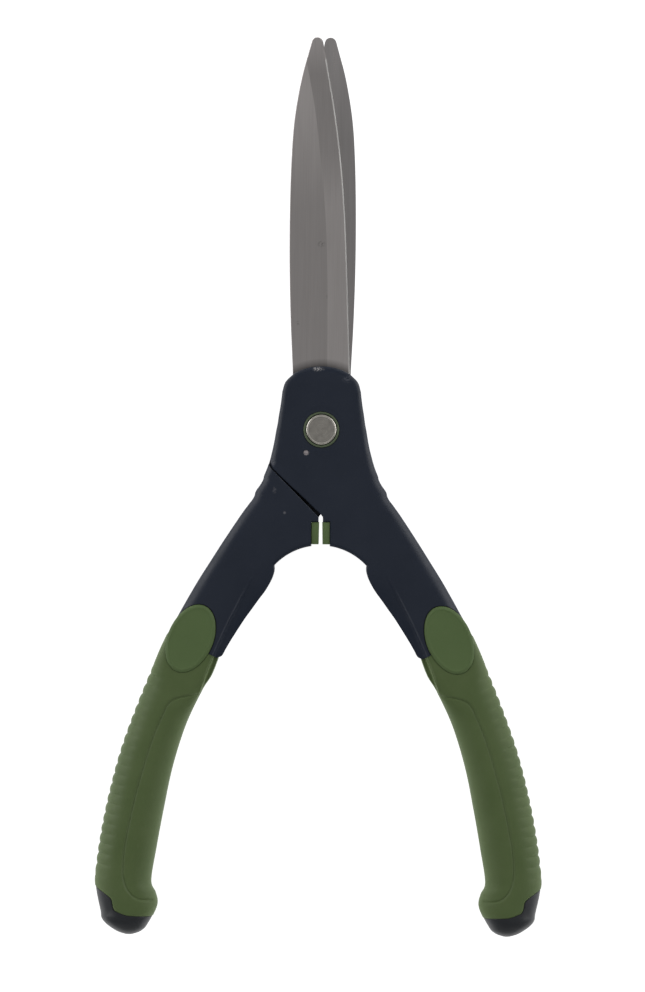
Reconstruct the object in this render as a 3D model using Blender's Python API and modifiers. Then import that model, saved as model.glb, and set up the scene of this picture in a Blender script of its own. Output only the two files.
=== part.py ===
"""Two-handed garden shears, lying flat and nearly closed.

+Y points to the blade tips and +Z away from the surface they lie on. The origin is on the pivot axis
at that surface. Both halves are one moulding used twice: each is drawn as the front half, whose handle
is on the +X side, and the rear half is the same drawing given half a turn about the Y axis at mid
thickness. Outlines are (x, y) points in millimetres, and every other size is in metres.
"""

import math

import bmesh
import bpy
import numpy as np
from mathutils import Matrix, Vector

MM = 0.001
GAP = 0.3 * MM  # between pieces that touch
FAR = 60 * MM  # well outside any piece, for cutters

# Heights of the layers, from the resting surface. The rear half has the same ones, turned over.
MID = 10.5 * MM
BLADE_INNER = MID + 0.15 * MM
BLADE_OUTER = BLADE_INNER + 2.5 * MM
HEAD_INNER = MID + 0.45 * MM
HEAD_OUTER = MID + 10.2 * MM
TOP = 2 * MID  # pad faces and bolt head
HEAD_RIM = 1.8 * MM  # rounding of the moulding's outer edges
PAD_RIM = 0.6 * MM  # chamfer of the thumb pads
BUMPER_RIM = 0.3 * MM

# Pivot hardware
SHANK_RADIUS = 4.0 * MM
RUNNING = 0.1 * MM  # radial clearance of the turning fit
THREAD_RADIUS = 3.0 * MM
BOLT_HEAD_RADIUS = 6.8 * MM
BOLT_HEAD_LOW = 18.3 * MM
FLAT_HALF = 3.25 * MM  # half across the flats that lock the bolt in the rear blade
FLAT_LOW = 7.6 * MM
BUSH_RADIUS = 8.0 * MM
BUSH_WALL = 0.9 * MM
BUSH_TOP = 20.9 * MM
BUSH_SEAT = 17.1 * MM
SLEEVE_RADIUS = 5.0 * MM
PIVOT_SIDES = 36

# Handle: the seam is the straight lower edge of a head, and the slot is between the two bumpers.
SEAM_HIGH = (-23.0, -14.5)
SEAM_LOW = (0.7, -39.8)
SEAM_GAP_HIGH, SEAM_GAP_LOW = 0.9, 1.5
SLOT_LOW = (0.87, -51.3)
ARM_END_OUTER, ARM_END_INNER = (68.3, -92.1), (45.9, -101.8)
# Grip stations down the handle: centre x, centre y, lean of the axis in degrees, half width
GRIP_STATIONS = (
    (49.3, -85.0, 31.5, 13.3),
    (55.3, -95.4, 30.4, 13.1),
    (63.6, -111.3, 28.9, 12.5),
    (70.8, -127.8, 24.3, 12.0),
    (77.5, -147.8, 18.3, 12.4),
    (82.3, -168.2, 13.2, 12.9),
    (85.6, -185.9, 10.8, 13.0),
    (87.7, -200.8, 9.5, 12.8),
    (86.7, -207.0, 5.9, 13.7),
    (85.2, -216.0, -6.5, 13.0),
    (84.9, -222.0, -9.0, 10.2),
    (84.6, -226.6, -10.0, 4.5),
)
GRIP_THICKNESS_RATIO, GRIP_MOST_HALF_HEIGHT = 0.77, 9.9 * MM
GRIP_POWER = 2.5  # superellipse exponent of the grip's section
STEM_HALF = (8.5 * MM, 5.8 * MM)
SPIGOT_HALF = (5.0 * MM, 3.3 * MM)

# Thumb pads
PAD_CENTRE, PAD_SEMI_AXES, PAD_LEAN = (57.9, -93.9), (16.0, 10.2), 23.4
PAD_LOW = TOP - 2.1 * MM

# Bumpers
BUMPER_HIGH, BUMPER_LOW, BUMPER_OUTER = -41.4, -51.3, 4.2
BUMPER_INSET = 0.5 * MM  # below the moulding's faces
BUMPER_TAIL = ((3.8, -48.8), (7.2, -43.8))
SLOT_HALF_ANGLE = 0.95

# Blade: the spine and the cutting edge leave the head and meet at a round tip.
SPINE = (
    (-13.05, 26),
    (-14.2, 50),
    (-14.85, 75),
    (-14.85, 100),
    (-14.3, 121.5),
    (-13.05, 139.5),
    (-9.9, 157.5),
    (-6.1, 171.0),
)
EDGE = ((1.1, 166.5), (5.0, 144), (7.9, 122), (9.8, 99), (10.9, 76), (11.8, 50), (12.6, 26))
GRIND = ((-7.9, 166.5), (-3.8, 144), (-1.2, 122), (1.0, 99), (2.1, 76), (2.4, 50), (2.4, 26))
TIP_CENTRE, TIP_RADIUS = (-3.15, 174.6), 2.0
EDGE_LAND = 0.45 * MM  # steel left behind the cutting edge
TANG_START, TANG_END, TANG_HALF = (16.0, -32.0), (50.0, -87.0), 8.0
LOCK_HOLES, LOCK_HOLE_RADIUS = ((27.0, -49.8), (41.0, -72.5)), 3.5

COLOURS = {
    "blade_steel": ((0.42, 0.41, 0.40), 0.35, 1.0),
    "bolt_steel": ((0.48, 0.46, 0.42), 0.3, 1.0),
    "zinc_steel": ((0.55, 0.55, 0.56), 0.35, 1.0),
    "black_plastic": ((0.019, 0.023, 0.031), 0.5, 0.0),
    "green_rubber": ((0.068, 0.094, 0.040), 0.7, 0.0),
    "green_plastic": ((0.080, 0.112, 0.050), 0.5, 0.0),
}


def collection(name):
    made = bpy.data.collections.new(name)
    bpy.context.scene.collection.children.link(made)
    return made


def clear_scene():
    for obj in list(bpy.data.objects):
        bpy.data.objects.remove(obj)


def material(name):
    colour, roughness, metallic = COLOURS[name]
    made = bpy.data.materials.get(name)
    if made is None:
        made = bpy.data.materials.new(name)
        made.use_nodes = True
        shader = made.node_tree.nodes["Principled BSDF"]
        shader.inputs["Base Color"].default_value = (*colour, 1)
        shader.inputs["Roughness"].default_value = roughness
        shader.inputs["Metallic"].default_value = metallic
    return made


# ---- outlines, in millimetres ----


def arc(centre, radius, start, end, steps):
    """steps + 1 points round an arc, its angles in degrees."""
    angles = np.radians(np.linspace(start, end, steps + 1))
    return [(centre[0] + radius * math.cos(a), centre[1] + radius * math.sin(a)) for a in angles]


def circle(centre, radius, steps=PIVOT_SIDES):
    return arc(centre, radius, 0, 360, steps)[:-1]


def smooth(points, steps):
    """A Catmull-Rom curve through points of any dimension, with steps spans between neighbours."""
    p = np.array(points, float)
    p = np.vstack([2 * p[0] - p[1], p, 2 * p[-1] - p[-2]])
    found = []
    for a, b, c, d in zip(p, p[1:], p[2:], p[3:]):
        for t in np.arange(steps) / steps:
            slope_in, slope_out = (c - a) / 2, (d - b) / 2
            bend_in, bend_out = 3 * (c - b) - 2 * slope_in - slope_out, 2 * (b - c) + slope_in + slope_out
            found.append(tuple(b + slope_in * t + bend_in * t**2 + bend_out * t**3))
    return [*found, tuple(p[-2])]


def mirrored(points):
    return [(-x, y) for x, y in reversed(points)]


def grown(points, by):
    """A clockwise closed outline moved outwards by that much, with mitred corners."""
    p = np.array(points, float)
    along = np.roll(p, -1, axis=0) - p
    along /= np.linalg.norm(along, axis=1)[:, None]
    out = np.stack([-along[:, 1], along[:, 0]], axis=1)
    before = np.roll(out, 1, axis=0)
    return [tuple(q) for q in p + by * (out + before) / (1 + (out * before).sum(axis=1))[:, None]]


def core_outline():
    """The moulding's head and arm, clockwise from the top of the seam."""
    side = smooth([SEAM_HIGH, (-20.9, -4.5), (-18.9, 7.0), (-17.6, 17.1)], 2)
    shoulder = smooth([(-17.6, 17.1), (-16.2, 21.3), (-12.8, 24.8)], 2)[1:]
    dome = arc((0, 3.1), 25.3, 120.4, 59.6, 10)[1:-1]
    neck = smooth([(17.6, 17.1), (18.9, 7.0), (20.9, -4.5), (25.2, -18.9), (35.1, -36.9)], 3)
    inner = [(39.8, -94.5), (31.3, -81.0), (24.5, -72.0), (21.9, -66.5), (21.0, -62.5)]
    arch = arc((0, -79.6), 28.3, 42.4, 88.2, 7)
    head = side + shoulder + dome + mirrored(shoulder) + neck
    return head + [ARM_END_OUTER, ARM_END_INNER] + inner + arch + [SLOT_LOW, SEAM_LOW]


def lap_outline():
    """Where the other half's head lies, up to its seam and the gap beyond it."""
    high, low = Vector((-SEAM_HIGH[0], SEAM_HIGH[1])), Vector((-SEAM_LOW[0], SEAM_LOW[1]))
    along = (high - low).normalized()
    away = Vector((along.y, -along.x))
    high, low = high + away * SEAM_GAP_HIGH, low + away * SEAM_GAP_LOW
    high, low = high + along * 40, low - along * 12
    return [(-60, 60), (60, 60), tuple(high), tuple(low), (-60, low.y)]


def blade_outline():
    """Blade and tang, clockwise from the spine at the head."""
    tip = arc(TIP_CENTRE, TIP_RADIUS, 165, 20, 6)
    start, end = Vector(TANG_START), Vector(TANG_END)
    along = (end - start).normalized()
    side = Vector((-along.y, along.x)) * TANG_HALF
    heel = smooth([EDGE[-1], (13.2, 12.0), (15.0, -6.0), tuple(start + side)], 3)[1:]
    corner = along * 3
    tang = [end + side - corner, end + side * 0.6, end - side * 0.6, end - side - corner]
    back = smooth([tuple(start - side), (-3.0, -24.0), (-10.5, -12.0), (-12.6, 4.0), SPINE[0]], 3)[:-1]
    return smooth(SPINE, 2) + tip + smooth(EDGE, 2) + heel + [tuple(p) for p in tang] + back


def bumper_outline():
    """The rubber block beside the slot: its inner face is radial, so that the two meet flat."""
    lean = math.tan(math.radians(SLOT_HALF_ANGLE))
    inner = [(-BUMPER_LOW * lean, BUMPER_LOW), (-BUMPER_HIGH * lean, BUMPER_HIGH)]
    return inner + [(BUMPER_OUTER, BUMPER_HIGH), (BUMPER_OUTER, BUMPER_LOW)]


def pad_outline(extra=0.0):
    angle = math.radians(PAD_LEAN)
    long_axis, short_axis = (x + extra for x in PAD_SEMI_AXES)
    turn = np.array([[-math.sin(angle), math.cos(angle)], [math.cos(angle), math.sin(angle)]])
    return [
        tuple(np.array([long_axis * x, short_axis * y]) @ turn + PAD_CENTRE)
        for x, y in circle((0, 0), 1, 36)
    ]


def cap_region(shift=(0, 0)):
    """Everything beyond the stepped joint between grip and end cap."""
    joint = [(104, -203.3), (96.5, -207.9), (92.2, -211.0), (91.3, -215.9), (85.7, -218.3), (66, -219.3)]
    return [(x + shift[0], y + shift[1]) for x, y in [(66, -245), (104, -245), *joint]]


def arm_region():
    """Everything on the arm's side of the joint between arm and grip."""
    outer, inner = Vector(ARM_END_OUTER), Vector(ARM_END_INNER)
    along = (outer - inner).normalized()
    away = Vector((along.y, -along.x)) * GAP / MM
    outer, inner = outer + along * 15 + away, inner - along * 15 + away
    return [tuple(outer), tuple(inner), (inner.x, -40), (outer.x, -40)]


# ---- meshes ----


def weld(mesh):
    work = bmesh.new()
    work.from_mesh(mesh)
    bmesh.ops.remove_doubles(work, verts=work.verts, dist=1e-6)
    bmesh.ops.recalc_face_normals(work, faces=work.faces)
    work.to_mesh(mesh)
    work.free()
    return mesh


def plate(name, outlines, low, high, rim=0.0, rim_steps=0):
    """A flat outline and its holes made solid from z = low to z = high, with its rims chamfered or rounded."""
    curve = bpy.data.curves.new(name, "CURVE")
    curve.dimensions = "2D"
    curve.fill_mode = "BOTH"
    curve.extrude = (high - low) / 2 - rim
    curve.bevel_depth = rim
    curve.bevel_resolution = rim_steps
    curve.offset = -rim
    for outline in outlines:
        spline = curve.splines.new("POLY")
        spline.points.add(len(outline) - 1)
        for point, (x, y) in zip(spline.points, outline):
            point.co = (x * MM, y * MM, 0, 1)
        spline.use_cyclic_u = True
    guide = bpy.data.objects.new(name, curve)
    bpy.context.scene.collection.objects.link(guide)
    graph = bpy.context.evaluated_depsgraph_get()
    mesh = bpy.data.meshes.new_from_object(guide.evaluated_get(graph))
    bpy.data.objects.remove(guide)
    mesh.transform(Matrix.Translation((0, 0, (low + high) / 2)))
    return weld(mesh)


def section(centre, half_width_axis, half_height, power, sides):
    """One superellipse ring round centre: wide along half_width_axis in the plane, high along Z."""
    ring = []
    for angle in np.linspace(0, 2 * math.pi, sides, endpoint=False):
        c, s = math.cos(angle), math.sin(angle)
        across = math.copysign(abs(c) ** (2 / power), c)
        up = math.copysign(abs(s) ** (2 / power), s)
        ring.append(centre + half_width_axis * across + Vector((0, 0, half_height * up)))
    return ring


def loft(name, rings):
    """A closed tube through rings of equal point counts, capped at both ends."""
    work = bmesh.new()
    made = [[work.verts.new(point) for point in ring] for ring in rings]
    for near, far in zip(made, made[1:]):
        for i in range(len(near)):
            j = (i + 1) % len(near)
            work.faces.new((near[i], near[j], far[j], far[i]))
    work.faces.new(reversed(made[0]))
    work.faces.new(made[-1])
    bmesh.ops.recalc_face_normals(work, faces=work.faces)
    mesh = bpy.data.meshes.new(name)
    work.to_mesh(mesh)
    work.free()
    return mesh


def handle_rings(first, last, half=None, sides=20, steps=2):
    """Sections of the handle from one grip station to another: the grip's own, or all of one size."""
    rings = []
    for x, y, lean, half_width in smooth(GRIP_STATIONS[first : last + 1], steps):
        across = Vector((math.cos(math.radians(lean)), math.sin(math.radians(lean)), 0))
        wide = half[0] if half else half_width * MM
        high = half[1] if half else min(GRIP_THICKNESS_RATIO * wide, GRIP_MOST_HALF_HEIGHT)
        rings.append(section(Vector((x * MM, y * MM, MID)), across * wide, high, GRIP_POWER, sides))
    return rings


def turned(name, profile, axis_open=False):
    """A mesh that holds only a profile of (radius, z) in metres, for a Screw modifier to turn."""
    mesh = bpy.data.meshes.new(name)
    edges = [(i, i + 1) for i in range(len(profile) - 1)]
    if axis_open:
        edges.append((len(profile) - 1, 0))
    mesh.from_pydata([(r, 0, z) for r, z in profile], edges, [])
    return mesh


def box(name, low, high):
    mesh = bpy.data.meshes.new(name)
    work = bmesh.new()
    bmesh.ops.create_cube(work, size=1)
    work.to_mesh(mesh)
    work.free()
    low, high = Vector(low), Vector(high)
    mesh.transform(Matrix.Translation((low + high) / 2) @ Matrix.Diagonal((*(high - low), 1)))
    return mesh


# ---- objects ----


def piece(name, mesh, half, finish):
    """A real sub-part on one half of the shears."""
    obj = bpy.data.objects.new(name, mesh)
    PARTS.objects.link(obj)
    obj.parent = half
    obj.data.materials.clear()
    obj.data.materials.append(material(finish))
    return obj


def tool(name, mesh, half):
    """A shape that only cuts or joins a piece."""
    obj = bpy.data.objects.new(name, mesh)
    TOOLS.objects.link(obj)
    obj.parent = half
    obj.hide_render = True
    obj.display_type = "WIRE"
    return obj


def boolean(obj, operation, *others):
    for other in others:
        modifier = obj.modifiers.new(f"{operation.lower()} {other.name}", "BOOLEAN")
        modifier.operation = operation
        modifier.object = other


def screw(obj):
    modifier = obj.modifiers.new("turn", "SCREW")
    modifier.steps = modifier.render_steps = PIVOT_SIDES
    modifier.use_merge_vertices = True
    modifier.merge_threshold = 1e-5


def round_tool(name, radius, low, high, half):
    """A cylinder on the pivot axis, for cutting."""
    return tool(name, plate(name, [circle((0, 0), radius / MM)], low, high), half)


def make_handle(side, half, bored):
    """Head, arm and the stem inside the grip, in one moulding round the tang."""
    name = f"{side}_handle"
    body = plate(name, [core_outline()], TOP - HEAD_OUTER, HEAD_OUTER, HEAD_RIM, rim_steps=1)
    handle = piece(name, body, half, "black_plastic")
    stem = tool(f"{side}_stem", loft("stem", handle_rings(0, 9, STEM_HALF)), half)
    pillars = [circle(hole, LOCK_HOLE_RADIUS - GAP / MM, 20) for hole in LOCK_HOLES]
    pocket = [grown(blade_outline(), GAP / MM), *pillars]
    room = plate("tang_room", pocket, BLADE_INNER - GAP, BLADE_OUTER + GAP)
    tang_room = tool(f"{side}_tang_room", room, half)
    lap = tool(f"{side}_lap", plate("lap", [lap_outline()], -FAR, HEAD_INNER), half)
    socket_half = [size + GAP for size in SPIGOT_HALF]
    socket = tool(f"{side}_socket", loft("socket", handle_rings(7, 10, socket_half)), half)
    end = tool(f"{side}_stem_end", plate("stem_end", [cap_region()], -FAR, FAR), half)
    boolean(handle, "UNION", stem)
    boolean(handle, "DIFFERENCE", lap, tang_room, end, socket)
    boolean(handle, "DIFFERENCE", *make_pad_seats(side, half), *bumper_room(side, half), *bored)


def make_pad_seats(side, half):
    outline = pad_outline(GAP / MM)
    high = tool(f"{side}_high_seat", plate("high_seat", [outline], PAD_LOW - GAP, TOP + 5 * MM), half)
    low = tool(f"{side}_low_seat", plate("low_seat", [outline], -5 * MM, TOP - PAD_LOW + GAP), half)
    return high, low


def make_grip(side, half):
    """The soft sleeve over the stem, from the arm to the end cap."""
    grip = piece(f"{side}_grip", loft(f"{side}_grip", handle_rings(0, 11)), half, "green_rubber")
    bore_half = [size + GAP for size in STEM_HALF]
    bore = tool(f"{side}_bore", loft("bore", handle_rings(0, 10, bore_half)), half)
    arm = tool(f"{side}_arm_side", plate("arm_side", [arm_region()], -FAR, FAR), half)
    cap = tool(f"{side}_cap_side", plate("cap_side", [cap_region()], -FAR, FAR), half)
    seats = [bpy.data.objects[f"{side}_{name}_seat"] for name in ("high", "low")]
    boolean(grip, "DIFFERENCE", arm, cap, bore, *seats)


def make_end_cap(side, half):
    name = f"{side}_end_cap"
    cap = piece(name, loft(name, handle_rings(7, 11)), half, "black_plastic")
    region = tool(f"{side}_cap_region", plate("cap_region", [cap_region((0.25, -0.3))], -FAR, FAR), half)
    spigot = tool(f"{side}_spigot", loft("spigot", handle_rings(7, 10, SPIGOT_HALF)[1:]), half)
    boolean(cap, "INTERSECT", region)
    boolean(cap, "UNION", spigot)


def make_pads(names, half):
    """The oval thumb pads on both faces; names gives the high one's and the low one's."""
    high, low = names
    piece(high, plate(high, [pad_outline()], PAD_LOW, TOP, PAD_RIM), half, "green_rubber")
    piece(low, plate(low, [pad_outline()], 0, TOP - PAD_LOW, PAD_RIM), half, "green_rubber")


def tail_box(name, extra):
    (x0, y0), (x1, y1) = BUMPER_TAIL
    low = (x0 * MM - extra, y0 * MM - extra, MID - 4.5 * MM - extra)
    return box(name, low, (x1 * MM + extra, y1 * MM + extra, MID + 4.5 * MM + extra))


def bumper_room(side, half):
    """The through slot that holds the bumper, and the blind one that holds its tail."""
    room = [(-1.0, BUMPER_LOW - 2), (-1.0, BUMPER_HIGH + 0.3), (BUMPER_OUTER + 0.3, BUMPER_HIGH + 0.3)]
    room.append((BUMPER_OUTER + 0.3, BUMPER_LOW - 2))
    slot = tool(f"{side}_bumper_slot", plate("bumper_slot", [room], -FAR, FAR), half)
    tail = tool(f"{side}_tail_slot", tail_box("tail_slot", GAP), half)
    return slot, tail


def make_bumper(side, half):
    name = f"{side}_bumper"
    low, high = TOP - HEAD_OUTER + BUMPER_INSET, HEAD_OUTER - BUMPER_INSET
    bumper = piece(name, plate(name, [bumper_outline()], low, high, BUMPER_RIM), half, "green_rubber")
    boolean(bumper, "UNION", tool(f"{side}_tail", tail_box("tail", 0), half))


def grind_tool(name, half):
    """Removes the steel above the ground bevel, from the grind line down to the cutting edge and past it."""
    rings = []
    reach = 3 * MM
    lines = zip(smooth(GRIND, 2), smooth(EDGE, 2))
    for (grind_x, y), (edge_x, _) in [((-10.5, 180), (-3.0, 180)), *lines]:
        slope = (BLADE_OUTER - BLADE_INNER - EDGE_LAND) / ((edge_x - grind_x) * MM)
        low = BLADE_INNER + EDGE_LAND - slope * reach
        x0, x1 = (grind_x - 3) * MM, edge_x * MM + reach
        rise = BLADE_OUTER + slope * 3 * MM
        rings.append([Vector((x0, y * MM, rise)), Vector((x1, y * MM, low)), Vector((x1, y * MM, rise))])
    return tool(name, loft(name, rings), half)


def make_blade(name, half, pivot_hole):
    holes = [pivot_hole, *(circle(hole, LOCK_HOLE_RADIUS, 20) for hole in LOCK_HOLES)]
    body = plate(name, [blade_outline(), *holes], BLADE_INNER, BLADE_OUTER)
    blade = piece(name, body, half, "blade_steel")
    boolean(blade, "DIFFERENCE", grind_tool(f"{name}_grind", half))


def double_d(extra):
    """The pivot hole that keeps the bolt from turning."""
    radius, flat = (SHANK_RADIUS + extra) / MM, (FLAT_HALF + extra) / MM
    angle = math.degrees(math.acos(flat / radius))
    return arc((0, 0), radius, angle, 180 - angle, 12) + arc((0, 0), radius, 180 + angle, 360 - angle, 12)


def make_front_bush():
    inner, wall = SHANK_RADIUS + RUNNING, BUSH_RADIUS - BUSH_WALL
    low, seat, floor = BLADE_OUTER + GAP, BUSH_SEAT + GAP, BOLT_HEAD_LOW - GAP
    profile = [(wall, BUSH_TOP), (BUSH_RADIUS, BUSH_TOP), (BUSH_RADIUS, seat), (SLEEVE_RADIUS, seat)]
    profile += [(SLEEVE_RADIUS, low), (inner, low), (inner, floor), (wall, floor)]
    screw(piece("front_bush", turned("front_bush", profile, True), FRONT, "green_plastic"))


def make_rear_bush():
    """A cup on the rear blade, with the nut inside it, drawn in the rear half's frame."""
    wall, bore = BUSH_RADIUS - BUSH_WALL, THREAD_RADIUS + GAP
    low = BLADE_OUTER + GAP
    floor = low + 0.8 * MM
    rim = BUSH_TOP - GAP
    profile = [(wall, rim), (BUSH_RADIUS, rim), (BUSH_RADIUS, low), (bore, low), (bore, floor), (wall, floor)]
    screw(piece("rear_bush", turned("rear_bush", profile, True), REAR, "green_plastic"))
    return floor


def make_bolt():
    chamfer = 0.5 * MM
    profile = [(0, TOP), (BOLT_HEAD_RADIUS - chamfer, TOP), (BOLT_HEAD_RADIUS, TOP - chamfer)]
    profile += [(BOLT_HEAD_RADIUS, BOLT_HEAD_LOW), (SHANK_RADIUS, BOLT_HEAD_LOW), (SHANK_RADIUS, FLAT_LOW)]
    profile += [(THREAD_RADIUS, FLAT_LOW), (THREAD_RADIUS, chamfer), (THREAD_RADIUS - chamfer, 0), (0, 0)]
    bolt = piece("pivot_bolt", turned("pivot_bolt", profile), PIVOT, "bolt_steel")
    screw(bolt)
    for sign, name in ((1, "right"), (-1, "left")):
        x = sorted((sign * FLAT_HALF, sign * FLAT_HALF * 2))
        low, high = (x[0], -FLAT_HALF * 2, FLAT_LOW - GAP), (x[1], FLAT_HALF * 2, TOP - BLADE_INNER)
        boolean(bolt, "DIFFERENCE", tool(f"{name}_flat", box(f"{name}_flat", low, high), PIVOT))


def make_nut_and_washers(cup_floor):
    """Stacked outwards from the floor of the rear cup, each a gap from the last, down to the resting plane."""
    bore = (THREAD_RADIUS + GAP) / MM
    high = TOP - cup_floor - GAP
    flat_low = high - 1.0 * MM
    spring_high = flat_low - GAP
    spring_low = spring_high - 1.0 * MM
    flat = plate("flat_washer", [circle((0, 0), 6.0), circle((0, 0), bore)], flat_low, high)
    piece("flat_washer", flat, PIVOT, "zinc_steel")
    split = arc((0, 0), 5.8, 6, 354, 40) + arc((0, 0), bore, 348, 12, 40)
    piece("spring_washer", plate("spring_washer", [split], spring_low, spring_high), PIVOT, "zinc_steel")
    across_flats = 10.0
    corners = circle((0, 0), across_flats / 2 / math.cos(math.pi / 6), 6)
    nut = plate("lock_nut", [corners, circle((0, 0), bore)], 0, spring_low - GAP)
    piece("lock_nut", nut, PIVOT, "zinc_steel")


def make_half(side, half, bored, pads):
    make_handle(side, half, bored)
    make_grip(side, half)
    make_end_cap(side, half)
    make_pads(pads, half)
    make_bumper(side, half)


def empty(name, location=(0, 0, 0), rotation=(0, 0, 0)):
    made = bpy.data.objects.new(name, None)
    PARTS.objects.link(made)
    made.location = location
    made.rotation_euler = rotation
    return made


clear_scene()
PARTS = collection("garden shears")
TOOLS = collection("cutters")
PIVOT = empty("pivot")
FRONT = empty("front half")
REAR = empty("rear half", (0, 0, TOP), (0, math.pi, 0))

front_bored = (
    round_tool("front_ring_seat", BUSH_RADIUS + 0.2 * MM, BUSH_SEAT, TOP + 5 * MM, FRONT),
    round_tool("front_sleeve_hole", SLEEVE_RADIUS + GAP, BLADE_OUTER, BUSH_SEAT + 1 * MM, FRONT),
)
rear_bored = (round_tool("rear_cup_hole", BUSH_RADIUS + 0.2 * MM, BLADE_OUTER, TOP + 5 * MM, REAR),)
make_half("right", FRONT, front_bored, ("right_front_pad", "right_rear_pad"))
make_half("left", REAR, rear_bored, ("left_rear_pad", "left_front_pad"))
make_blade("front_blade", FRONT, circle((0, 0), (SHANK_RADIUS + RUNNING) / MM))
make_blade("rear_blade", REAR, double_d(GAP))
make_front_bush()
make_bolt()
make_nut_and_washers(make_rear_bush())
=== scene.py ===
"""Looks of the two-handed garden shears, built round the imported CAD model.

Every shape is drawn in millimetres as the front half, whose handle is on the +X side. The rear half is the
same moulding given half a turn about the Y axis at mid thickness, as in the CAD.
"""

import math

import bmesh
import bpy
import numpy as np
from mathutils import Matrix, Vector
from mathutils.geometry import delaunay_2d_cdt


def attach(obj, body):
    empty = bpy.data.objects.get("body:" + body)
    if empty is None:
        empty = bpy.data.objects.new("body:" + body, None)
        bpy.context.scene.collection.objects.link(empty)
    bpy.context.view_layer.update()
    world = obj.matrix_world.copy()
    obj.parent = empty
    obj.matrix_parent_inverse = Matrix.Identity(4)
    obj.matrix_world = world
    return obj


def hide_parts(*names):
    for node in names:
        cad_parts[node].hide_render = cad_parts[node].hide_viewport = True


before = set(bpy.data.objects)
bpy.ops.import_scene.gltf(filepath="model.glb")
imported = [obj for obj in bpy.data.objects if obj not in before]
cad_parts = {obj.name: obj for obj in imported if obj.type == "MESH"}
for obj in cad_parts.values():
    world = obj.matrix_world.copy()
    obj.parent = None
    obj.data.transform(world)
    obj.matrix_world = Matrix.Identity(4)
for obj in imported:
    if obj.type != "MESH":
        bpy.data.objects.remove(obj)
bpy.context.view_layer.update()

MM = 0.001

# Heights in mm, as in the CAD
TOP, MID = 21.0, 10.5
HEAD_LOW = 10.95  # underside of the front head
FACE_HIGH, FACE_LOW = 20.7, 0.3  # faces of the black moulding
BLADE_LOW, BLADE_HIGH = 10.65, 13.15
GAP = 0.3

# Outline of the black moulding, (x, y) in mm
DOME_CENTRE, DOME_RADIUS = (0, 3.1), 25.3
SHOULDER = ((-17.6, 17.1), (-16.2, 21.3), (-12.8, 24.8))
HEAD_SIDE = ((18.0, 13.5), (18.5, 9.9), (19.1, 6.3), (19.6, 2.7), (20.3, -0.9), (20.9, -4.5), (21.6, -8.1))
# lower edge of the head, from the slot up to the silhouette, with its two corners rounded
SEAM = (
    (1.25, -41.42), (1.2, -40.4), (0.9, -39.2), (0.35, -38.35), (-0.6, -37.35), (-3.2, -34.9),
    (-8.0, -30.3), (-14.1, -24.75), (-19.15, -19.95), (-21.45, -17.6), (-22.2, -16.2), (-22.5, -15.0),
)
# upper edge of the arm, where it is cut away for the other half's head
LAP = (
    (0.95, -41.42), (0.95, -39.1), (3.2, -36.85), (9.0, -30.95), (15.0, -24.9), (21.3, -18.6),
    (22.7, -17.1), (23.5, -15.7), (23.9, -14.0),
)
SCALLOPS = (
    (22.5, -11.7), (23.5, -15.3), (24.5, -18.2), (25.6, -20.9), (25.9, -22.4), (27.2, -24.8),
    (28.9, -27.2), (29.5, -28.5), (29.75, -29.7), (30.7, -31.5), (32.1, -33.3),
)
ARM_OUTER = (
    (35.3, -37.7), (39.6, -44.1), (44.3, -51.3), (49.1, -58.9), (54.5, -67.5), (59.7, -76.5),
    (64.7, -85.5),
)
ARM_END = ((68.4, -92.0), (45.9, -102.5))
ARM_INNER = (
    (43.8, -101.5), (42.6, -99.3), (39.8, -94.5), (34.1, -85.5), (30.9, -81.0), (27.7, -76.5),
    (24.4, -72.0), (21.9, -67.5), (20.8, -64.3), (20.55, -62.4),
)
ARCH_CENTRE, ARCH_RADIUS, ARCH_END = (0, -80.0), 28.1, 20.7
POCKET_HIGH, POCKET_OUTER = -41.42, 4.12  # room for the bumper
GATE = (-6.75, -10.35)  # where the plastic ran into the mould
CORNER_REACH, CORNER_DEPTH = 0.45, 0.35
RIDGE = (
    (26.0, -58.0), (30.4, -66.0), (34.3, -73.5), (37.9, -80.5), (41.4, -87.5), (44.6, -94.5),
    (47.4, -101.0), (50.0, -107.4), (52.2, -113.4), (54.4, -119.8),
)
RIDGE_SLOPE, RIDGE_BEAD = 0.31, 0.42
GRIP_RIDGE_END, GRIP_LEDGE, GRIP_BEAD = -121.5, 7.3, 0.5  # end of the ridge, half height inside it
THROUGH = (-60, 60)  # low and high of a prism that cuts right through

# Grip: centre x, centre y, lean in degrees, half width, half height
GRIP_STATIONS = (
    (57.0, -97.2, 24.5, 12.8, 10.1), (60.0, -104.3, 28.5, 13.1, 9.95), (63.6, -111.3, 28.9, 12.5, 9.7),
    (70.8, -127.8, 24.3, 12.0, 9.3), (77.5, -147.8, 18.3, 12.4, 9.5), (82.3, -168.2, 13.2, 12.9, 9.8),
    (85.6, -185.9, 10.8, 13.0, 9.9), (87.7, -200.8, 9.5, 12.8, 9.8), (86.7, -207.0, 5.9, 13.7, 9.9),
    (85.2, -215.0, -6.5, 13.1, 9.8), (85.9, -219.3, -3.0, 11.8, 9.6), (85.9, -222.2, -1.0, 9.95, 9.1),
    (85.3, -224.6, 0.0, 7.6, 8.0), (85.0, -226.2, 0.0, 5.0, 6.2), (84.9, -227.1, 0.0, 2.2, 3.8),
)
CAP_JOINT = ((104, -203.3), (96.5, -207.9), (92.6, -210.7), (91.6, -216.0), (85.7, -218.3), (66, -219.3))
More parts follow.
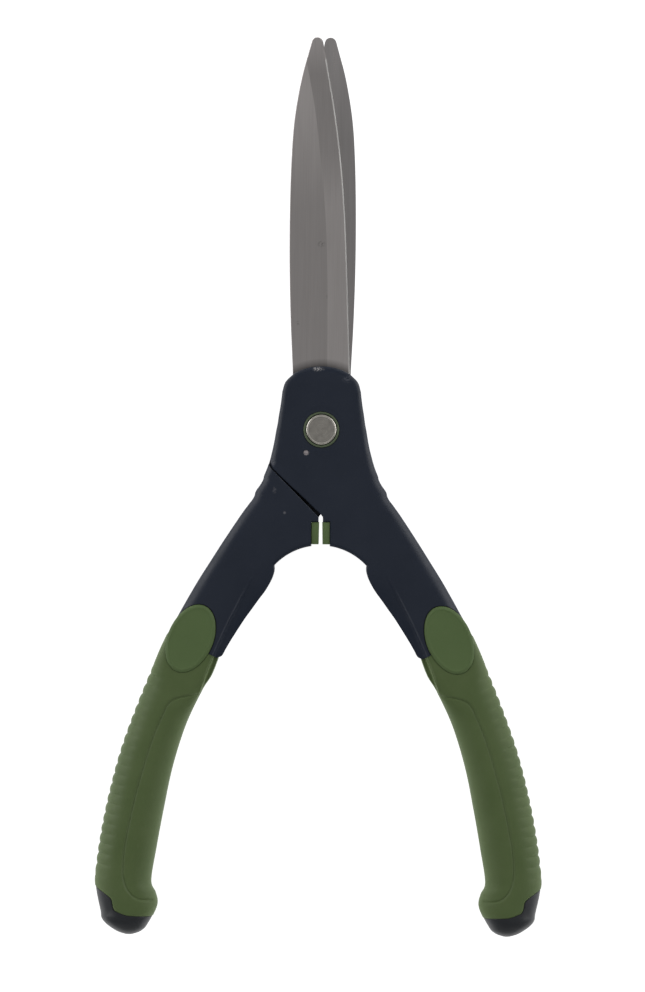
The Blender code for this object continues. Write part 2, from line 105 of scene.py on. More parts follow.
THUMB_GROOVE = (
    (54.6, -119.2), (61.4, -120.2), (65.7, -121.6), (68.6, -124.4), (70.9, -129.6), (74.0, -136.8),
    (77.3, -146.7), (79.9, -155.7), (82.1, -163.8), (83.9, -171.9), (85.6, -180.0), (87.1, -189.0),
    (87.6, -197.1), (87.1, -202.5), (85.3, -207.0), (82.1, -210.2), (78.5, -211.3), (74.5, -211.4),
)
RIB_HIGH, RIB_LOW, RIB_PITCH, RIB_DEPTH = -104.6, -199.0, 4.5, 0.62
NOTCHES, NOTCH_DEPTH = (-108.9, -116.8), 0.5
GROOVE_DEPTH, GROOVE_WIDTH, HOLLOW_DEPTH = 0.4, 0.55, 0.22
GRIP_POWER, STEM_POWER = 2.25, 2.6  # exponents of the superellipse sections
GRIP_SIDES, STEM_SIDES, PAD_SIDES = 208, 32, 120

PAD_CENTRE, PAD_SEMI_AXES, PAD_LEAN, PAD_LOW = (57.9, -93.9), (16.0, 10.2), 23.4, 18.9

SPINE = (
    (-13.05, 26), (-14.2, 50), (-14.85, 75), (-14.85, 100), (-14.3, 121.5), (-13.05, 139.5),
    (-10.05, 157.5), (-6.5, 171.0),
)
EDGE = ((1.1, 166.5), (5.0, 144), (7.9, 122), (9.8, 99), (10.9, 76), (11.8, 50), (12.6, 26))
GRIND = ((-7.9, 166.5), (-3.8, 144), (-1.2, 122), (1.0, 99), (2.1, 76), (2.4, 50), (2.4, 26))
TIP_CENTRE, TIP_RADIUS = (-2.95, 173.95), 2.65
SECOND_BEVEL, SECOND_SLOPE = 0.58, 0.2
GRIND_DEPTH, GRIND_START, CHAMFER = 0.85, (13, 17), 0.22
LOCK_HOLES, LOCK_HOLE_RADIUS = ((27.0, -49.8), (41.0, -72.5)), 3.5


# ---- curves and distances, in millimetres ----


def arc(centre, radius, start, end, steps):
    """steps + 1 points round an arc, its angles in degrees."""
    angles = np.radians(np.linspace(start, end, steps + 1))
    return np.stack([centre[0] + radius * np.cos(angles), centre[1] + radius * np.sin(angles)], 1)


def circle(radius, steps, centre=(0, 0)):
    return arc(centre, radius, 0, 360, steps)[:-1]


def smooth(points, steps):
    """A Catmull-Rom curve through rows of numbers, with steps spans between neighbours."""
    p = np.array(points, float)
    p = np.vstack([2 * p[0] - p[1], p, 2 * p[-1] - p[-2]])
    t = (np.arange(steps) / steps)[:, None]
    found = []
    for a, b, c, d in zip(p, p[1:], p[2:], p[3:]):
        into, out = (c - a) / 2, (d - b) / 2
        found.append(b + into * t + (3 * (c - b) - 2 * into - out) * t**2 + (2 * (b - c) + into + out) * t**3)
    return np.vstack([*found, p[-2:-1]])


def evenly(line, spacing):
    """The same open line with points at about even spacing."""
    line = np.array(line, float)
    length = np.concatenate([[0], np.cumsum(np.linalg.norm(np.diff(line[:, :2], axis=0), axis=1))])
    count = max(2, int(round(length[-1] / spacing)) + 1)
    at = np.linspace(0, length[-1], count)
    return np.stack([np.interp(at, length, column) for column in line.T], 1)


def flipped(points):
    """Mirrored in x and run backwards."""
    p = np.array(points, float)[::-1].copy()
    p[:, 0] *= -1
    return p


def leftward(along):
    """Unit vectors at a left angle to directions."""
    along = along / (np.linalg.norm(along, axis=1)[:, None] + 1e-12)
    return np.stack([-along[:, 1], along[:, 0]], 1)


def beside(points, line):
    """Distance of points from an open line, place along it as a fractional index, and side (1 is left)."""
    a, b = line[:-1, :2], line[1:, :2]
    step = b - a
    size = (step**2).sum(1)
    distance, place, side = np.empty(len(points)), np.empty(len(points)), np.empty(len(points))
    for start in range(0, len(points), 3000):
        p = points[start : start + 3000, None, :2] - a
        t = np.clip((p * step).sum(2) / size, 0, 1)
        gap = ((p - step * t[..., None]) ** 2).sum(2)
        best = gap.argmin(1)
        row = np.arange(len(best))
        distance[start : start + 3000] = np.sqrt(gap[row, best])
        place[start : start + 3000] = best + t[row, best]
        q, s = p[row, best], step[best]
        side[start : start + 3000] = np.where(s[:, 0] * q[:, 1] - s[:, 1] * q[:, 0] > 0, 1, -1)
    return distance, place, side


def inside(points, outline):
    """Which points lie in a closed outline."""
    x, y = points[:, 0], points[:, 1]
    found = np.zeros(len(points), bool)
    for (x0, y0), (x1, y1) in zip(outline, np.roll(outline, -1, axis=0)):
        if y0 != y1:
            crosses = ((y0 > y) != (y1 > y)) & (x < (x1 - x0) * (y - y0) / (y1 - y0) + x0)
            found ^= crosses
    return found


def fade(value, start, end):
    """0 before start, 1 after end, smooth between."""
    t = np.clip((value - start) / (end - start), 0, 1)
    return t * t * (3 - 2 * t)


def rounding(distance, reach, depth):
    """How far an edge lies below its face: a slope that steepens outwards, then a tight round corner."""
    share = np.clip(1 - distance / reach, 0, 1)
    corner = np.clip(1 - distance / CORNER_REACH, 0, 1)
    return depth * share**2.3 + np.minimum(CORNER_DEPTH, depth) * (1 - np.sqrt(1 - corner**2))


def bead(outside):
    """Height of the small raised line along the ridge, over a shallow hollow."""
    return RIDGE_BEAD * (np.exp(-((outside / 0.6) ** 2)) - 0.36 * np.exp(-((outside / 2.2) ** 2)))


def soft_least(a, b, blend):
    """The lesser of two heights, with the corner between them rounded."""
    h = np.clip(0.5 + (b - a) / (2 * blend), 0, 1)
    return b + (a - b) * h - blend * h * (1 - h)


# ---- meshes ----


def new_object(name, mesh):
    obj = bpy.data.objects.new(name, mesh)
    bpy.context.scene.collection.objects.link(obj)
    return obj


def mesh_of(points, faces):
    """A mesh from points in millimetres."""
    mesh = bpy.data.meshes.new("shape")
    mesh.from_pydata((np.array(points, float) * MM).tolist(), [], [list(map(int, f)) for f in faces])
    mesh.update()
    return mesh


def tidy(mesh):
    """Joins points that coincide and turns all faces outwards."""
    merge = 1e-6
    work = bmesh.new()
    work.from_mesh(mesh)
    bmesh.ops.remove_doubles(work, verts=work.verts, dist=merge)
    bmesh.ops.dissolve_degenerate(work, edges=work.edges, dist=merge / 2)
    bmesh.ops.recalc_face_normals(work, faces=work.faces)
    work.to_mesh(mesh)
    work.free()
    return mesh


def shade(mesh, angle):
    mesh.shade_smooth()
    mesh.set_sharp_from_angle(angle=math.radians(angle))
    return mesh


def combine(mesh, *steps):
    """Adds or takes away other meshes one after another, each step an operation and a mesh."""
    for operation, other in steps:
        base, tool = new_object("base", mesh), new_object("tool", other)
        modifier = base.modifiers.new(operation, "BOOLEAN")
        modifier.operation, modifier.object, modifier.solver = operation, tool, "EXACT"
        graph = bpy.context.evaluated_depsgraph_get()
        mesh = tidy(bpy.data.meshes.new_from_object(base.evaluated_get(graph)))
        bpy.data.objects.remove(base)
        bpy.data.objects.remove(tool)
    return mesh


def prism(outline, low, high):
    n = len(outline)
    points = [(x, y, low) for x, y in outline] + [(x, y, high) for x, y in outline]
    faces = [list(range(n))[::-1], list(range(n, 2 * n))]
    faces += [[i, (i + 1) % n, n + (i + 1) % n, n + i] for i in range(n)]
    return tidy(mesh_of(points, faces))


def box(x, y, z):
    """A block between two values of x, of y and of z."""
    return prism([(x[0], y[0]), (x[1], y[0]), (x[1], y[1]), (x[0], y[1])], *z)


def turned(profile):
    """A (radius, z) profile turned round the pivot axis, closed unless it starts and ends on the axis."""
    steps = 96
    profile = np.array(profile, float)
    open_ends = profile[0][0] < 1e-9 and profile[-1][0] < 1e-9
    angle = np.linspace(0, 2 * math.pi, steps, endpoint=False)
    n = len(profile)
    points = [(r * math.cos(a), r * math.sin(a), z) for a in angle for r, z in profile]
    faces = []
    for i in range(steps):
        j = (i + 1) % steps
        for k in range(n - 1 if open_ends else n):
            m = (k + 1) % n
            faces.append([i * n + k, j * n + k, j * n + m, i * n + m])
    return tidy(mesh_of(points, faces))


def loft(rings):
    """A closed tube through rings of equal point counts."""
    rings = np.array(rings)
    count, sides = rings.shape[:2]
    index = np.arange(count * sides).reshape(count, sides)
    a, b = index[:-1], index[1:]
    quads = np.stack([a, np.roll(a, -1, 1), np.roll(b, -1, 1), b], -1).reshape(-1, 4)
    faces = [*quads.tolist(), index[0][::-1].tolist(), index[-1].tolist()]
    return mesh_of(rings.reshape(-1, 3), faces)


def triangulated(loops, lines, extra):
    """2-D triangles over closed loops, with open lines kept as edges and extra points inside."""
    points, edges = [], []
    for loop in loops:
        start = len(points)
        points += [Vector(p[:2]) for p in loop]
        edges += [(start + i, start + (i + 1) % len(loop)) for i in range(len(loop))]
    for line in lines:
        start = len(points)
        points += [Vector(p[:2]) for p in line]
        edges += [(start + i, start + i + 1) for i in range(len(line) - 1)]
    points += [Vector(p[:2]) for p in extra]
    found, _, faces, *_ = delaunay_2d_cdt(points, edges, [], 1, 1e-5)
    return np.array([tuple(p) for p in found]), np.array([f for f in faces if len(f) == 3])


def rim(triangles):
    """The edges that only one triangle has, each in that triangle's direction."""
    used = dict.fromkeys((int(t[i]), int(t[(i + 1) % 3])) for t in triangles for i in range(3))
    return [(a, b) for a, b in used if (b, a) not in used]


def fill_points(domain, borders, ring_shares, spacing, line, line_offsets):
    """Points inside a domain: rings beside each border by its reach, rows beside a line, then a grid."""
    made = []
    for border, reach in borders:
        inward = -leftward(np.gradient(border[:, :2], axis=0))  # the outlines run clockwise
        reach = np.broadcast_to(reach, len(border))
        for share in ring_shares:
            ring = border[:, :2] + inward * (reach * share)[:, None]
            keep = inside(ring, domain)
            for other, _ in borders:
                keep &= beside(ring, other)[0] > 0.85 * reach * share
            made.append(ring[keep])
    left = leftward(np.gradient(line[:, :2], axis=0))
    for offset in line_offsets:
        row = line[:, :2] + left * offset
        row = row[inside(row, domain)]
        near = np.min([beside(row, other)[0] for other, _ in borders], axis=0)
        made.append(row[near > 0.3])
    low, high = domain.min(0), domain.max(0)
    xs = np.arange(low[0], high[0], spacing)
    ys = np.arange(low[1], high[1], spacing * 0.87)
    grid = np.array([(x + (spacing / 2 if j % 2 else 0), y) for j, y in enumerate(ys) for x in xs])
    grid = grid[inside(grid, domain)]
    for border, reach in borders:
        distance, place, _ = beside(grid, border)
        reach = np.broadcast_to(reach, len(border))
        near = np.interp(place, np.arange(len(border)), reach)
        grid = grid[distance > near * ring_shares[-1] + spacing * 0.5]
    grid = grid[beside(grid, line)[0] > max(map(abs, line_offsets)) + spacing * 0.4]
    return np.vstack([*made, grid])

# ---- the black moulding ----


def moulding_lines():
    """The open runs of the moulding's outline, each with the reach and the depth of its rounded edge."""
    shoulder = smooth(SHOULDER, 8)
    dome = arc(DOME_CENTRE, DOME_RADIUS, 120.4, 59.6, 44)
    neck = smooth([(17.6, 17.1), *HEAD_SIDE, *SCALLOPS], 6)
    arm = smooth([SCALLOPS[-1], *ARM_OUTER, ARM_END[0]], 14)
    side = flipped(smooth([(17.6, 17.1), *HEAD_SIDE, (22.5, -12.0)], 6))
    corner = smooth([SEAM[-1], (-22.6, -13.6), (-22.5, -12.0)], 5)
    head = np.vstack([corner, side[1:], shoulder[1:], dome[1:], flipped(shoulder)[1:], neck[1:], arm[1:]])
    head = evenly(head, 0.5)
    down = [-30, -18, 0, 15, 30, 60, 92]
    reach = np.interp(-head[:, 1], down, [2.6, 3.0, 3.6, 4.6, 5.6, 6.6, 7.0])
    depth = np.interp(-head[:, 1], down, [0.9, 1.05, 1.35, 1.75, 2.2, 2.6, 2.8])
    end = evenly([ARM_END[0], ARM_END[1]], 0.5)
    inner = smooth([ARM_END[1], *ARM_INNER], 8)
    first, last = (math.degrees(math.acos(x / ARCH_RADIUS)) for x in (ARCH_END, POCKET_OUTER))
    arch = arc(ARCH_CENTRE, ARCH_RADIUS, first, last, 40)
    inner, arch = evenly(np.vstack([inner, arch[:1]]), 0.5), evenly(arch, 0.5)
    return {
        "head": (head, reach, depth),
        "end": (end, 0.02, 0.0),
        "inner": (inner, 1.5, 0.4),
        "arch": (arch, 2.0, 0.55),
        "pocket": (evenly([arch[-1], (POCKET_OUTER, POCKET_HIGH)], 0.3), 0.5, 1.3),
    }


def moulding_mesh():
    """Head and arm in one closed mesh. The head lies only above the lap, and the arm reaches both faces."""
    runs = moulding_lines()
    head, reach, depth = runs["head"]
    seam, slot = evenly(smooth(SEAM, 6), 0.4), np.array(LAP[:2], float)
    lap = smooth(LAP[1:], 6)
    pocket_top = [(POCKET_OUTER, POCKET_HIGH)]
    upper_foot, lower_foot = evenly([*pocket_top, SEAM[0]], 0.3), evenly([*pocket_top, LAP[0]], 0.3)
    slot = evenly(slot, 0.3)
    outside = ~inside(lap, np.vstack([head, [(45, -102)], [(0, -60)]]))
    lap = lap[: int(np.argmax(outside))] if outside.any() else lap
    lap_end = int(beside(lap[-1:], head)[1][0])
    lap_line = evenly([*lap[:-1], head[lap_end]], 0.4)
    shared = [runs[k] for k in ("end", "inner", "arch", "pocket")]
    common = [line for line, _, _ in shared]

    def closed(parts):
        return np.vstack([part[:-1] for part in parts])

    upper = closed([head, *common, upper_foot, seam])
    lower = closed([head[lap_end:], *common, lower_foot, slot, lap_line])
    foot_edge, seam_edge = (0.45, 1.2), (0.5, 0.12)
    borders_high = [runs["head"], *shared, (upper_foot, *foot_edge), (seam, *seam_edge)]
    borders_low = [(head[lap_end:], reach[lap_end:], depth[lap_end:]), *shared, (lower_foot, *foot_edge)]
    borders_low += [(slot, *seam_edge), (lap_line, *seam_edge)]

    shares = [1 - math.cos(math.radians(a)) for a in (18, 32, 46, 60, 75, 90)]
    ridge = evenly(smooth(RIDGE[:7], 8), 0.6)
    ridge = ridge[inside(ridge, upper) & (beside(ridge, runs["end"][0])[0] > 0.4)]
    offsets = (-2.3, -1.6, -1.1, -0.75, -0.5, -0.25, 0.0, 0.25, 0.5, 0.75, 1.1, 1.6, 2.3)
    edges = [(border, far) for border, far, _ in borders_high + borders_low[-2:]]
    extra = fill_points(upper, edges, shares, 1.2, ridge, offsets)
    extra = extra[np.hypot(*extra.T) > 11.6]
    around_bolt = np.vstack([circle(r, 90) for r in (8.8, 9.4, 10.0, 10.6, 11.2)])
    extra = np.vstack([extra, around_bolt])
    extra = extra[np.hypot(*(extra - GATE).T) > 1.8]
    under_bolt = np.vstack([circle(r, 60) for r in (2.0, 4.5, 6.5, 7.8)])
    gate_rings = ((0.3, 8), (0.6, 12), (0.85, 16), (1.1, 20), (1.4, 24))
    near_gate = np.vstack([circle(r, n, GATE) for r, n in gate_rings])
    extra = np.vstack([extra, under_bolt, near_gate, [GATE]])
    flat, triangles = triangulated([upper, lower], [], extra)

    centre = flat[triangles].mean(1)
    in_upper, in_lower = inside(centre, upper), inside(centre, lower)

    def drops(borders):
        total = np.zeros(len(flat))
        for border, far, deep in borders:
            distance, place, _ = beside(flat, border)
            at = np.arange(len(border))
            far = np.interp(place, at, np.broadcast_to(far, len(border)))
            deep = np.interp(place, at, np.broadcast_to(deep, len(border)))
            total = np.maximum(total, rounding(distance, far, deep))
        return total

    gap, _, side = beside(flat, RIDGE_LINE)
    facet = RIDGE_SLOPE * gap * side * fade(-flat[:, 1], 56, 92)
    line = bead(gap) * fade(-flat[:, 1], 61, 78)

    def face(borders):
        return soft_least(-drops(borders), facet, 0.22 * fade(-flat[:, 1], 60, 70) + 1e-6) + line

    radius = np.hypot(flat[:, 0], flat[:, 1])
    dish = 0.16 * fade(-radius, -10.9, -9.2)
    from_gate = np.hypot(*(flat - GATE).T)
    nub = 0.22 * fade(-from_gate, -1.35, -1.05) - 0.42 * fade(-from_gate, -0.8, -0.45)
    high = FACE_HIGH + face(borders_high) - dish - nub
    low = FACE_LOW - face(borders_low)

    n = len(flat)
    points = np.vstack([np.c_[flat, high], np.c_[flat, np.full(n, HEAD_LOW)], np.c_[flat, low]])
    faces = []
    for (a, b, c), up, down in zip(triangles, in_upper, in_lower):
        if up:
            faces.append((a, b, c))
        if up != down:
            faces.append((n + a, n + b, n + c) if down else (n + a, n + c, n + b))
        if down:
            faces.append((2 * n + a, 2 * n + c, 2 * n + b))
    for flags, rise, base in ((in_upper, 0, n), (in_lower, n, 2 * n)):
        faces += [(rise + b, rise + a, base + a, base + b) for a, b in rim(triangles[flags])]
    return tidy(mesh_of(points, faces))


# ---- grips and end caps ----


def handle_path(spacing, first=0):
    """Stations down the handle at even spacing: centre, lean, half width and half height."""
    return evenly(smooth(GRIP_STATIONS[first:], 24), spacing)


def section(station, sides, inset, power_in, power_out):
    """A ring of a superellipse, squarer on the side that power_in belongs to."""
    x, y, lean, wide, high = station
    angle = np.linspace(0, 2 * math.pi, sides, endpoint=False)
    c, s = np.cos(angle), np.sin(angle)
    power = np.where(c < 0, power_in, power_out)
    across = np.sign(c) * np.abs(c) ** (2 / power) * max(wide - inset, 0.02)
    up = np.sign(s) * np.abs(s) ** (2 / power) * max(high - inset, 0.02)
    lean = math.radians(lean)
    return np.stack([x + across * math.cos(lean), y + across * math.sin(lean), MID + up], 1)


def handle_rings(stations, sides, inset=0.0):
    """Rings that grow squarer towards the black arm, most of all on the inner side."""
    rings = []
    for station in stations:
        inner, outer = 4.2 * float(fade(station[1], -127, -105)), 2.4 * float(fade(station[1], -120, -104))
        rings.append(section(station, sides, inset, GRIP_POWER + inner, GRIP_POWER + outer))
    return rings


def refine(work, near, shortest):
    """Splits long edges wherever near says so."""
    for _ in range(2):
        co = np.array([v.co for v in work.verts]) / MM
        mark = near(co)
        work.verts.ensure_lookup_table()
        edges = [
            e for e in work.edges
            if (mark[e.verts[0].index] or mark[e.verts[1].index]) and e.calc_length() > shortest * MM
        ]
        bmesh.ops.subdivide_edges(work, edges=edges, cuts=1, use_grid_fill=True)
        work.verts.index_update()


def joint_line():
    line = np.array(CAP_JOINT, float)
    rounded = [line[0]]
    for before, here, after in zip(line, line[1:], line[2:]):
        into = (here - before) / np.linalg.norm(here - before)
        out = (after - here) / np.linalg.norm(after - here)
        rounded += [here - into * 1.0, here - into * 0.35 + out * 0.35, here + out * 1.0]
    return evenly(np.vstack([*rounded, line[-1]]), 0.3)


JOINT = joint_line()
GROOVE = evenly(smooth(THUMB_GROOVE, 10), 0.3)
RIDGE_LINE = evenly(smooth(RIDGE, 8), 0.6)


def grip_shape(mesh, lip, marks=True):
    """Cuts the ribs, groove, notches, ridge and lips into a plain handle tube."""
    work = bmesh.new()
    work.from_mesh(mesh)
    on_face = 3.0

    def near(co):
        close = beside(co, JOINT)[0] < 1.1
        if marks:
            close |= (beside(co, GROOVE)[0] < 0.9) & (abs(co[:, 2] - MID) > on_face)
            beside_ridge = (beside(co, RIDGE_LINE)[0] < 1.2) & (co[:, 1] > GRIP_RIDGE_END - 2)
            close |= beside_ridge & (abs(co[:, 2] - MID) > 5)
        return close

    refine(work, near, 0.16)
    bmesh.ops.recalc_face_normals(work, faces=work.faces)
    co = np.array([v.co for v in work.verts]) / MM
    normal = np.array([v.normal for v in work.verts])
    inward = lip * (1 - np.sqrt(1 - np.clip(1 - beside(co, JOINT)[0] / 0.55, 0, 1) ** 2))
    if marks:
        level = abs(co[:, 2] - MID)
        gap, place, side = beside(co, GROOVE)
        inward += GROOVE_DEPTH * np.exp(-((gap / GROOVE_WIDTH) ** 2)) * fade(level, on_face, 5.0)
        ends = fade(place, 2, 20) * fade(len(GROOVE) - 1 - place, 2, 20)
        hollow = fade(-gap, -6.0, -0.3) * fade(-side * gap, -0.25, 0.25) * fade(level, on_face, 6.0)
        inward += HOLLOW_DEPTH * hollow * ends
        path = handle_path(0.5)
        place = beside(co, path)[1]
        centre = np.stack([np.interp(place, np.arange(len(path)), path[:, k]) for k in range(5)], 1)
        lean = np.radians(centre[:, 2])
        out = (co[:, 0] - centre[:, 0]) * np.cos(lean) + (co[:, 1] - centre[:, 1]) * np.sin(lean)
        angle = np.degrees(np.arctan2(level / centre[:, 4], out / centre[:, 3]))
        outer = centre[:, 1] + centre[:, 3] * np.sin(lean)
        phase = (RIB_HIGH - outer) / RIB_PITCH
        wave = 1 - np.abs(np.sin(math.pi * phase)) ** 0.75
        strength = fade(-angle, -70, -36) * fade(-outer, -RIB_HIGH - 1, -RIB_HIGH + 3)
        strength *= fade(outer, RIB_LOW - 2, RIB_LOW + 3)
        inward += RIB_DEPTH * wave * strength
        for y in NOTCHES:
            notch = (co[:, 1] - y) * 0.86 - (co[:, 0] - centre[:, 0] + centre[:, 3] * 0.86) * 0.5
            inward += NOTCH_DEPTH * np.exp(-((notch / 0.4) ** 2)) * fade(angle, 150, 168)
    co = co - normal * inward[:, None]
    if marks:
        gap, _, side = beside(co, RIDGE_LINE)
        height = np.abs(co[:, 2] - MID)
        strength = fade(co[:, 1], GRIP_RIDGE_END - 1.5, GRIP_RIDGE_END + 2)
        height = height + GRIP_BEAD * np.exp(-((gap / 0.5) ** 2)) * strength * fade(height, 5, 8)
        step = fade(-gap * side, 0.1, 1.0) * strength
        height = height + (np.minimum(height, GRIP_LEDGE) - height) * step
        co[:, 2] = MID + np.sign(co[:, 2] - MID) * height
    for v, p in zip(work.verts, co * MM):
        v.co = p
    work.to_mesh(mesh)
    work.free()
    return mesh


def cap_region(shift=0.0):
    return [(66 + shift, -245), (104 + shift, -245), *[(x + shift, y - shift) for x, y in JOINT]]


def stem_rings(half, first, last):
    """Rings of the stem, given its half width and half height, between two values of y."""
    path = handle_path(1.5)
    lead = path[0].copy()
    lead[:2] -= (4 * math.sin(math.radians(lead[2])), -4 * math.cos(math.radians(lead[2])))
    path = np.vstack([lead, path])
    chosen = path[(path[:, 1] < first) & (path[:, 1] > last)]
    return [section((x, y, lean, *half), STEM_SIDES, 0, STEM_POWER, STEM_POWER) for x, y, lean, *_ in chosen]


def grip_mesh():
    path = handle_path(0.33)
    path = path[path[:, 1] > -221.5]
    rings = handle_rings(path, GRIP_SIDES)
    lip = 0.5
    along = np.array([math.sin(math.radians(path[0][2])), -math.cos(math.radians(path[0][2])), 0])
    start = []
    for angle in (0, 25, 50, 70):
        a = math.radians(angle)
        ring = handle_rings([path[0]], GRIP_SIDES, lip * (1 - math.sin(a)))[0]
        start.append(ring + along * lip * (1 - math.cos(a)))
    clear = (path[:, :2] - path[0, :2]) @ along[:2] > lip + 0.1
    keep = [ring for ring, kept in zip(rings, clear) if kept]
    mesh = tidy(grip_shape(tidy(loft(start + keep)), 0.4))
    bore = tidy(loft(stem_rings((8.8, 6.1), -92, -224)))
    return combine(mesh, ("DIFFERENCE", prism(cap_region(), *THROUGH)), ("DIFFERENCE", bore), *pad_cuts(0.14))


def cap_mesh():
    path = handle_path(0.3, 6)
    path = path[path[:, 1] < -197]
    mesh = grip_shape(tidy(loft(handle_rings(path, 160, GAP))), 0.35, marks=False)
    spigot = tidy(loft(stem_rings((5.0, 3.3), -201, -214)))
    return combine(mesh, ("INTERSECT", prism(cap_region(0.12), *THROUGH)), ("UNION", spigot))


# ---- thumb pads and bumpers ----


def ellipse(extra):
    """Outline of the pad, made larger by extra."""
    lean = math.radians(PAD_LEAN)
    long_axis, short_axis = (axis + extra for axis in PAD_SEMI_AXES)
    angle = np.linspace(0, 2 * math.pi, PAD_SIDES, endpoint=False)
    u, v = long_axis * np.cos(angle), short_axis * np.sin(angle)
    x = PAD_CENTRE[0] - u * math.sin(lean) + v * math.cos(lean)
    y = PAD_CENTRE[1] + u * math.cos(lean) + v * math.sin(lean)
    return np.stack([x, y], 1)


def pad_cuts(extra):
    """The recesses for the pads in both faces."""
    levels = (PAD_LOW - GAP, TOP + 9), (-9, TOP - PAD_LOW + GAP)
    return [("DIFFERENCE", prism(ellipse(extra), *level)) for level in levels]


def pad_mesh():
    """An oval inlay with a rounded shoulder, a narrow rim and a face that is very slightly dished."""
    profile = (
        (0, PAD_LOW), (0, 19.9), (0, 20.2), (-0.06, 20.36), (-0.2, 20.5), (-0.45, 20.63), (-0.8, 20.79),
        (-1.05, 20.9), (-1.3, 20.965), (-1.5, 20.965), (-1.75, 20.9), (-2.1, 20.84), (-2.6, 20.81),
    )
    rings = [np.c_[ellipse(extra), np.full(PAD_SIDES, z)] for extra, z in profile]
    for share, z in ((0.8, 20.8), (0.55, 20.79), (0.3, 20.78), (0.08, 20.78)):
        ring = np.array(PAD_CENTRE) + (ellipse(-2.6) - PAD_CENTRE) * share
        rings.append(np.c_[ring, np.full(PAD_SIDES, z)])
    return tidy(loft(rings))


def bumper_mesh():
    """The rubber block beside the slot, with soft corners, and its tail in the moulding."""
    lean = math.tan(math.radians(0.95))
    low, high = -51.35, -41.45
    outline = np.array([(-low * lean, low), (-high * lean, high), (4.1, high), (4.1, low)])
    block = prism(outline, FACE_LOW + 0.45, FACE_HIGH - 0.45)
    work = bmesh.new()
    work.from_mesh(block)
    bmesh.ops.bevel(work, geom=list(work.edges), offset=0.16 * MM, segments=2, affect="EDGES", profile=0.5)
    work.to_mesh(block)
    work.free()
    return combine(block, ("UNION", box((3.8, 7.2), (-48.8, -43.8), (6.0, 15.0))))


# ---- blades ----


def blade_outline(grow=0.0):
    """Blade and tang, clockwise from the spine at the head."""
    tip = arc(TIP_CENTRE, TIP_RADIUS, 165, 20, 14)
    start, end = Vector((16.0, -32.0)), Vector((50.0, -87.0))
    along = (end - start).normalized()
    side = Vector((-along.y, along.x)) * 8.0
    corner = along * 3
    heel = smooth([EDGE[-1], (13.2, 12.0), (15.0, -6.0), start + side], 6)[1:]
    tang = np.array([end + side - corner, end + side * 0.6, end - side * 0.6, end - side - corner])
    back = smooth([start - side, (-3.0, -24.0), (-10.5, -12.0), (-12.6, 4.0), SPINE[0]], 6)[:-1]
    outline = np.vstack([smooth(SPINE, 8), tip, smooth(EDGE, 8), heel, tang, back])
    if grow:
        out = leftward(np.roll(outline, -1, 0) - outline)
        out = out + np.roll(out, 1, 0)
        outline = outline + grow * out / np.linalg.norm(out, axis=1)[:, None]
    return outline


def line_x(line, y):
    """Where a line that runs towards the pivot crosses given heights."""
    return np.interp(-y, -line[:, 1], line[:, 0])


GRIND_LINE = np.vstack([(-10.5, 180.0), smooth(GRIND, 8), (2.4, 10.0)])


def blade_mesh(hole_flat):
    """A flat-backed blade with its ground bevel and the narrow second bevel at the edge."""
    outline = blade_outline()
    outline = evenly(np.vstack([outline, outline[:1]]), 1.0)[:-1]
    border = np.vstack([outline, outline[:1]])
    edge = np.vstack([(-0.6, 174.6), smooth(EDGE, 8), (12.9, 10.0)])

    grid = [(x, y) for y in np.arange(20, 176, 2.5) for x in np.arange(-15, 13, 2.2)]
    grid += [(x, y) for y in np.arange(-80, 20, 4.0) for x in np.arange(-12, 52, 4.0)]
    grid = np.array(grid)
    grid = grid[(abs(grid[:, 0] - line_x(GRIND_LINE, grid[:, 1])) > 0.7) | (grid[:, 1] < 18)]
    ring = outline - leftward(np.roll(outline, -1, 0) - np.roll(outline, 1, 0)) * CHAMFER
    keep = beside(ring, edge)[0] > 0.6
    start = int(np.argmax(~keep))
    ring, keep = np.roll(ring, -start, 0), np.roll(keep, -start)
    ring = ring[keep]
    shoulder = evenly(edge - leftward(np.gradient(edge, axis=0)) * SECOND_BEVEL, 1.2)
    shoulder = shoulder[(shoulder[:, 1] < 172.5) & (shoulder[:, 1] > 14)]
    grid = grid[(beside(grid, border)[0] > 0.5) & (beside(grid, shoulder)[0] > 0.4)]
    grind = GRIND_LINE[inside(GRIND_LINE, outline) & (beside(GRIND_LINE, border)[0] > 0.3)]
    grind = grind[(grind[:, 1] > 17) & (beside(grind, ring)[0] > 0.1)]
    flat, triangles = triangulated([outline], [grind, shoulder, ring], grid[inside(grid, outline)])
    x, y = flat.T
    ground = line_x(GRIND_LINE, y)
    share = np.clip((x - ground) / (line_x(edge, y) - ground), 0, 1.1)
    high = BLADE_HIGH - GRIND_DEPTH * share * fade(y, *GRIND_START)
    from_edge, from_border = beside(flat, edge)[0], beside(flat, border)[0]
    second = SECOND_SLOPE * (SECOND_BEVEL - from_edge) * fade(y, *GRIND_START) * fade(-y, -175.5, -173)
    high -= np.where((from_edge < SECOND_BEVEL) & (y > 13), second, 0)
    high -= np.where((from_edge > 0.5) | (y < 13), np.clip(CHAMFER - from_border, 0, 1), 0)
    n = len(flat)
    points = np.vstack([np.c_[flat, high], np.c_[flat, np.full(n, BLADE_LOW)]])
    faces = [tuple(t) for t in triangles] + [(n + t[0], n + t[2], n + t[1]) for t in triangles]
    faces += [(b, a, n + a, n + b) for a, b in rim(triangles)]
    mesh = tidy(mesh_of(points, faces))
    holes = [("DIFFERENCE", prism(circle(LOCK_HOLE_RADIUS, 40, c), 5, 20)) for c in LOCK_HOLES]
    if hole_flat:
        angle = math.degrees(math.asin(3.55 / 4.3))
        hole = np.vstack([arc((0, 0), 4.3, mid - angle, mid + angle, 24) for mid in (0, 180)])
        hole = np.stack([-hole[:, 1], hole[:, 0]], 1)
    else:
        hole = circle(4.1, 64)
    return combine(mesh, ("DIFFERENCE", prism(hole, 5, 20)), *holes)


